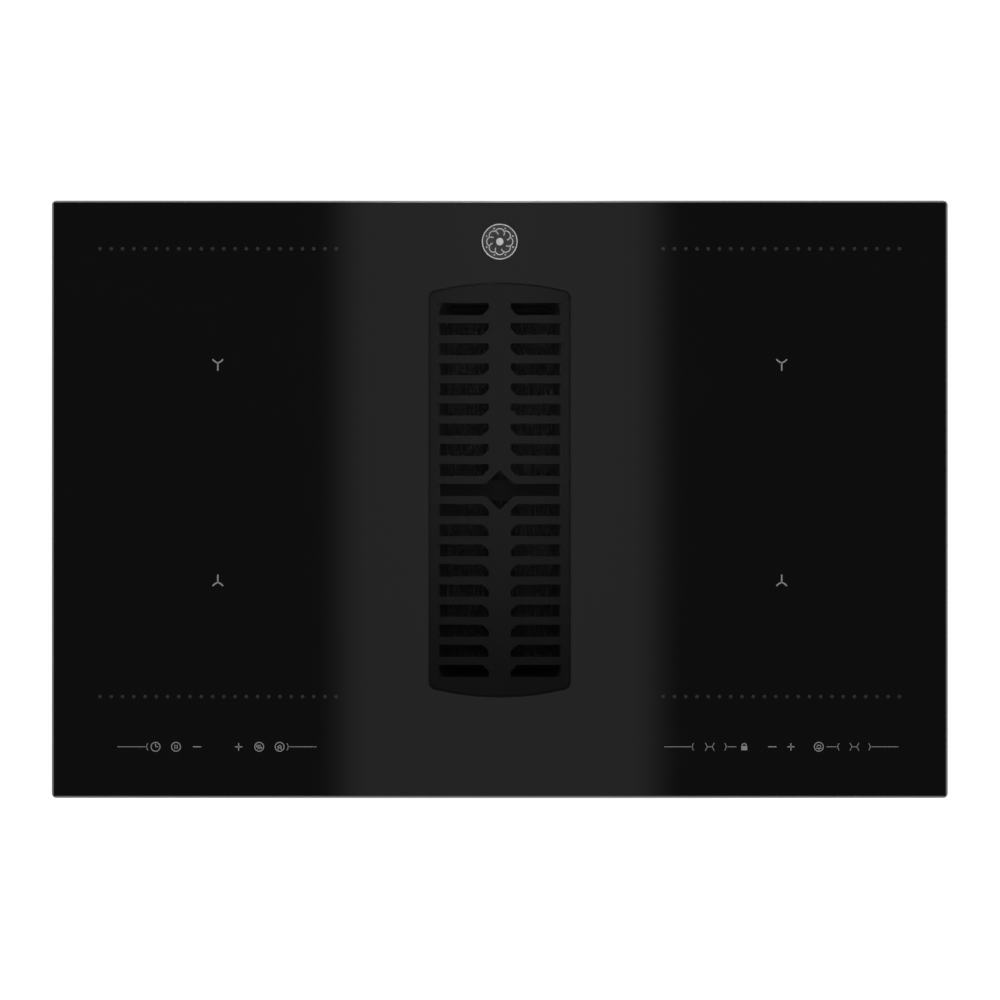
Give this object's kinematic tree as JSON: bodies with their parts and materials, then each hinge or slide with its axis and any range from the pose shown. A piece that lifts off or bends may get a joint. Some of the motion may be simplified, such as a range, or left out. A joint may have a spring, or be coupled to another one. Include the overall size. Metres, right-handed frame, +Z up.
{
  "type": "venting induction hob",
  "caption": "Rectangular black glass induction hob with a lift-out air grille in the middle, over a steel casing of coils and a centrifugal extractor with a flat rear duct outlet.",
  "frame": {"origin": "middle of the glass plate, on the lowest plane of the extractor", "axes": "+X to the user's right, +Y to the rear of the worktop, +Z up"},
  "size_m": [0.78, 0.52, 0.215],
  "materials": {
    "black_ceramic_glass": "polished",
    "foam_seal": "closed-cell foam",
    "silicone": "satin",
    "rubber": "matt",
    "black_cast_iron": "satin black enamel",
    "black_plastic": "moulded, fine grain",
    "white_plastic": "moulded",
    "stainless_steel": "brushed",
    "black_coated_steel": "fine satin",
    "galvanised_steel": "zinc spangle",
    "zinc_steel": "zinc plated",
    "aluminium": "mill finish",
    "copper_wire": "enamelled",
    "mica": "sheet",
    "ferrite": "sintered",
    "circuit_board": "solder resist"
  },
  "bodies": {
    "chassis": {"blower_base": "black_plastic", "blower_cover": "black_plastic", "cable_gland": "black_plastic", "casing": "galvanised_steel", "coil_carrier_left": "aluminium", "coil_carrier_right": "aluminium", "coil_former_front_left": "white_plastic", "coil_former_front_right": "white_plastic", "coil_former_rear_left": "white_plastic", "coil_former_rear_right": "white_plastic", "coil_front_left": "copper_wire", "coil_front_right": "copper_wire", "coil_mica_front_left": "mica", "coil_mica_front_right": "mica", "coil_mica_rear_left": "mica", "coil_mica_rear_right": "mica", "coil_rear_left": "copper_wire", "coil_rear_right": "copper_wire", "coil_sensors_left": "white_plastic", "coil_sensors_right": "white_plastic", "fan_frame_left": "black_plastic", "fan_frame_right": "black_plastic", "ferrite_bars_left": "ferrite", "ferrite_bars_right": "ferrite", "glass_adhesive": "silicone", "glass_seal": "foam_seal", "glass_top": "black_ceramic_glass", "hanger_screws": "zinc_steel", "heat_sink_left": "aluminium", "heat_sink_right": "aluminium", "housing_screws": "zinc_steel", "inlet_collar": "black_plastic", "inlet_ring": "black_plastic", "inlet_seal": "silicone", "motor_mounts": "rubber", "motor_stator": "zinc_steel", "outlet_spigot": "black_plastic", "power_board_left": "circuit_board", "power_board_right": "circuit_board", "suction_box": "black_plastic", "suction_duct": "black_plastic", "sump_box": "black_plastic", "terminal_block": "black_plastic", "terminal_box": "black_plastic", "touch_board_left": "circuit_board", "touch_board_right": "circuit_board", "worktop_clamps": "stainless_steel"},
    "grille": {"grille": "black_cast_iron"},
    "grease_filter": {"filter_frame": "black_coated_steel", "filter_mesh": "stainless_steel", "filter_grip": "black_coated_steel"},
    "drip_tray": {"drip_tray": "black_plastic"},
    "impeller": {"impeller": "black_plastic", "impeller_blades": "black_plastic", "impeller_ring": "black_plastic", "motor_shaft": "zinc_steel"},
    "cooling_fan_left": {"fan_rotor_left": "black_plastic"},
    "cooling_fan_right": {"fan_rotor_right": "black_plastic"}
  },
  "joints": [
    {"name": "grille_lift", "type": "slide", "parent": "chassis", "child": "grille", "axis": [0, 0, 1], "range_m": [0, 0.18]},
    {"name": "filter_lift", "type": "slide", "parent": "chassis", "child": "grease_filter", "axis": [0, 0, 1], "range_m": [0, 0.16]},
    {"name": "tray_lift", "type": "slide", "parent": "chassis", "child": "drip_tray", "axis": [0, 0, 1], "range_m": [0, 0.24]},
    {"name": "impeller_spin", "type": "hinge", "parent": "chassis", "child": "impeller", "pos_m": [0.195, -0.04, 0.05], "axis": [0, 0, 1], "continuous": true},
    {"name": "fan_left_spin", "type": "hinge", "parent": "chassis", "child": "cooling_fan_left", "pos_m": [-0.2453, 0.166, 0.16], "axis": [0, 0, 1], "continuous": true},
    {"name": "fan_right_spin", "type": "hinge", "parent": "chassis", "child": "cooling_fan_right", "pos_m": [0.2453, 0.166, 0.16], "axis": [0, 0, 1], "continuous": true}
  ],
  "couplings": [
    {"joint": "filter_lift", "follows": "grille_lift", "ratio": 0.88889},
    {"joint": "tray_lift", "follows": "grille_lift", "ratio": 1.3333}
  ]
}
